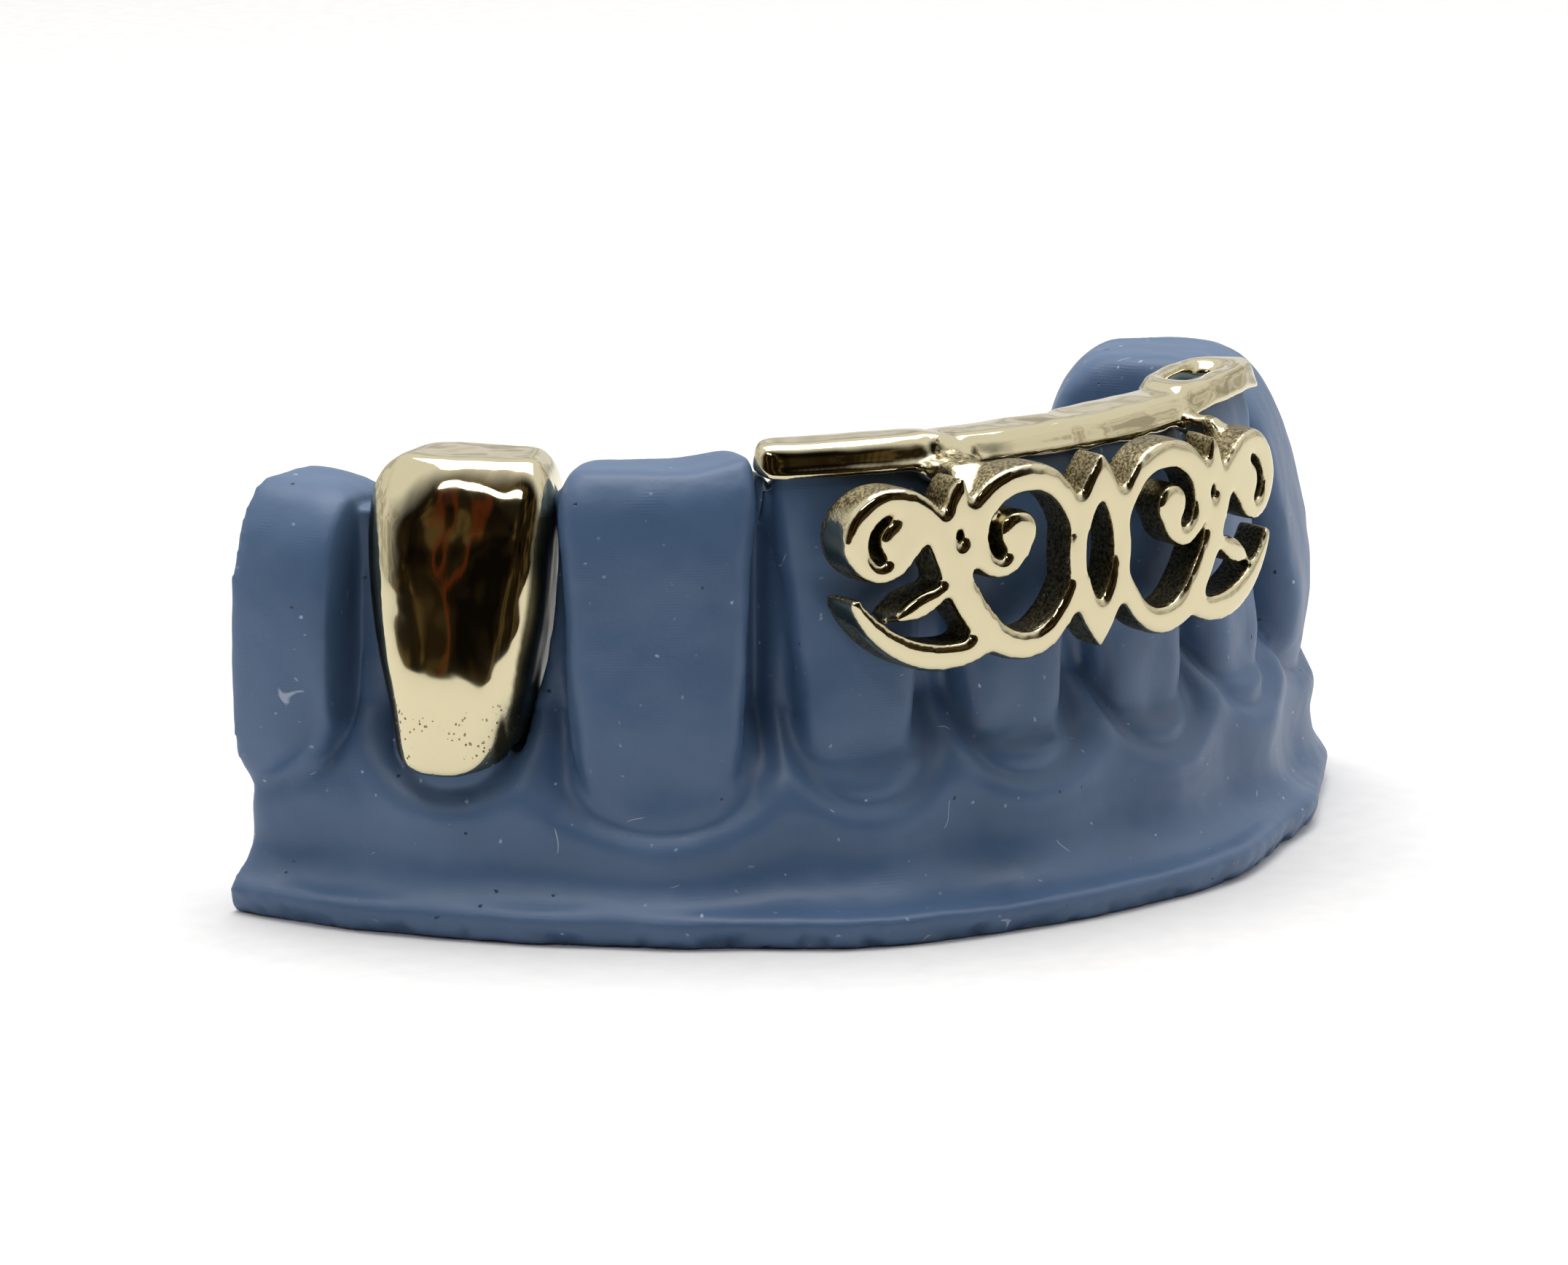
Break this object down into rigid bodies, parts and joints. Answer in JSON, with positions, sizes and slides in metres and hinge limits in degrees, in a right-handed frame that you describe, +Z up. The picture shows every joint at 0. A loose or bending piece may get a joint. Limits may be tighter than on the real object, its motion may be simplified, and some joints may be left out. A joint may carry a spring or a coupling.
{
  "type": "grillz tooth covers on a dental cast stand",
  "caption": "Polished gold tooth cap and a gold incisor bar with a pierced scrollwork plate hung in front, worn over lower teeth and shown on a blue dental cast.",
  "frame": {"origin": "under the middle of the cast's foot, on the surface it stands on", "axes": "+Z up from the foot to the biting edges, -Y towards the lips at the front of the arch, +X towards the wearer's left"},
  "size_m": [0.043, 0.0232, 0.0162],
  "materials": {
    "gold": "polished pale yellow gold",
    "cast_resin": "satin blue-grey printed resin"
  },
  "bodies": {
    "root": {"dental_cast": "cast_resin", "tooth_cap": "gold", "bar_grill": "gold"}
  },
  "joints": []
}
